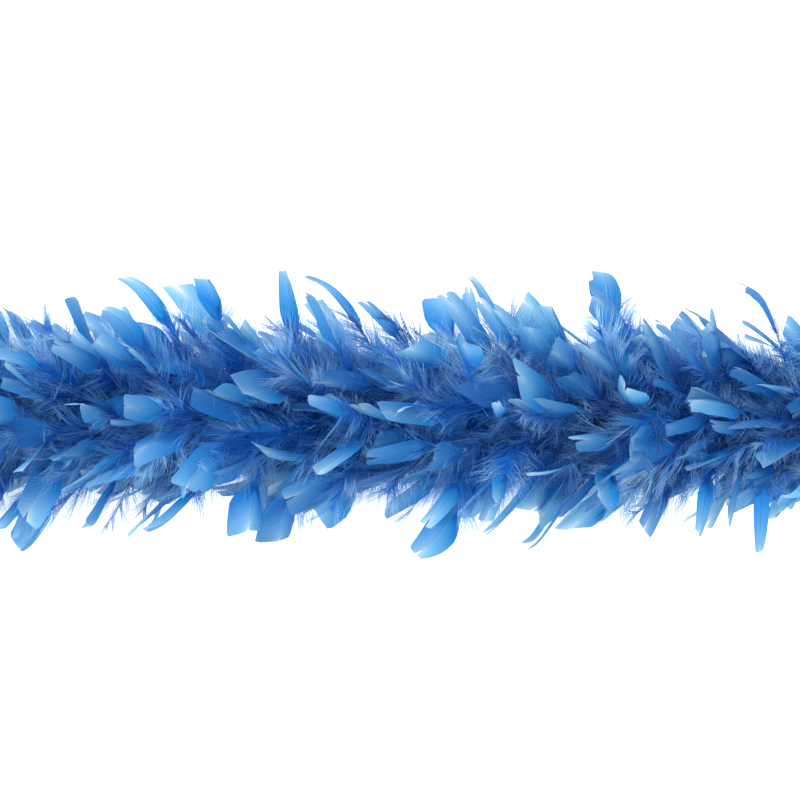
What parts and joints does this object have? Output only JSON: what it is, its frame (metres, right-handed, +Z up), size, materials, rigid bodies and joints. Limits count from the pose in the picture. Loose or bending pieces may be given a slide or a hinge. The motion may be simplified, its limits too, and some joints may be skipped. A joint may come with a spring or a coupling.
{
  "type": "feather boa",
  "caption": "Full round feather boa: soft feathers bound all round a limp cord, all leaning to one end, with a knotted hanging loop at each end.",
  "frame": {"origin": "on the surface that the boa rests on, under the middle of its length", "axes": "+X along the boa, away from the end that the feather tips lean to; +Z up"},
  "size_m": [1.8806, 0.144, 0.122],
  "materials": {
    "feather": "dyed feather: satin vanes over matt fluffy down",
    "quill": "dyed horn-like quill, low sheen",
    "cord": "two-ply twisted cotton",
    "thread": "tight winding of fine thread"
  },
  "bodies": {
    "stretch_01": {"cord_01": "cord", "binding_thread_01": "thread", "quills_01": "quill", "feathers_01": "feather", "end_whipping_left": "thread", "end_knot_left": "cord"},
    "stretch_02": {"cord_02": "cord", "binding_thread_02": "thread", "quills_02": "quill", "feathers_02": "feather"},
    "stretch_03": {"cord_03": "cord", "binding_thread_03": "thread", "quills_03": "quill", "feathers_03": "feather"},
    "stretch_04": {"cord_04": "cord", "binding_thread_04": "thread", "quills_04": "quill", "feathers_04": "feather"},
    "stretch_05": {"cord_05": "cord", "binding_thread_05": "thread", "quills_05": "quill", "feathers_05": "feather"},
    "stretch_06": {"cord_06": "cord", "binding_thread_06": "thread", "quills_06": "quill", "feathers_06": "feather"},
    "stretch_07": {"cord_07": "cord", "binding_thread_07": "thread", "quills_07": "quill", "feathers_07": "feather"},
    "stretch_08": {"cord_08": "cord", "binding_thread_08": "thread", "quills_08": "quill", "feathers_08": "feather"},
    "stretch_09": {"cord_09": "cord", "binding_thread_09": "thread", "quills_09": "quill", "feathers_09": "feather"},
    "stretch_10": {"cord_10": "cord", "binding_thread_10": "thread", "quills_10": "quill", "feathers_10": "feather"},
    "stretch_11": {"cord_11": "cord", "binding_thread_11": "thread", "quills_11": "quill", "feathers_11": "feather", "end_whipping_right": "thread", "end_knot_right": "cord"},
    "loop_left": {"hanging_loop_left": "cord"},
    "loop_right": {"hanging_loop_right": "cord"}
  },
  "joints": [
    {"name": "bend_left_1", "type": "hinge", "parent": "stretch_06", "child": "stretch_05", "pos_m": [-0.08318, 0, 0.05], "axis": [0, 0, 1], "range_deg": [-60, 60]},
    {"name": "bend_left_2", "type": "hinge", "parent": "stretch_05", "child": "stretch_04", "pos_m": [-0.24954, 0, 0.05], "axis": [0, 1, 0], "range_deg": [-60, 60]},
    {"name": "bend_left_3", "type": "hinge", "parent": "stretch_04", "child": "stretch_03", "pos_m": [-0.41591, 0, 0.05], "axis": [0, 0, 1], "range_deg": [-60, 60]},
    {"name": "bend_left_4", "type": "hinge", "parent": "stretch_03", "child": "stretch_02", "pos_m": [-0.58227, 0, 0.05], "axis": [0, -1, 0], "range_deg": [-60, 60]},
    {"name": "bend_left_5", "type": "hinge", "parent": "stretch_02", "child": "stretch_01", "pos_m": [-0.74864, 0, 0.05], "axis": [0, 0, 1], "range_deg": [-60, 60]},
    {"name": "bend_right_1", "type": "hinge", "parent": "stretch_06", "child": "stretch_07", "pos_m": [0.08318, 0, 0.05], "axis": [0, 0, 1], "range_deg": [-60, 60]},
    {"name": "bend_right_2", "type": "hinge", "parent": "stretch_07", "child": "stretch_08", "pos_m": [0.24954, 0, 0.05], "axis": [0, -1, 0], "range_deg": [-60, 60]},
    {"name": "bend_right_3", "type": "hinge", "parent": "stretch_08", "child": "stretch_09", "pos_m": [0.41591, 0, 0.05], "axis": [0, 0, 1], "range_deg": [-60, 60]},
    {"name": "bend_right_4", "type": "hinge", "parent": "stretch_09", "child": "stretch_10", "pos_m": [0.58227, 0, 0.05], "axis": [0, 1, 0], "range_deg": [-60, 60]},
    {"name": "bend_right_5", "type": "hinge", "parent": "stretch_10", "child": "stretch_11", "pos_m": [0.74864, 0, 0.05], "axis": [0, 0, 1], "range_deg": [-60, 60]},
    {"name": "loop_swing_left", "type": "hinge", "parent": "stretch_01", "child": "loop_left", "pos_m": [-0.93533, 0, 0.05], "axis": [0, 1, 0], "range_deg": [-35, 110]},
    {"name": "loop_swing_right", "type": "hinge", "parent": "stretch_11", "child": "loop_right", "pos_m": [0.93533, 0, 0.05], "axis": [0, -1, 0], "range_deg": [-35, 110]}
  ]
}
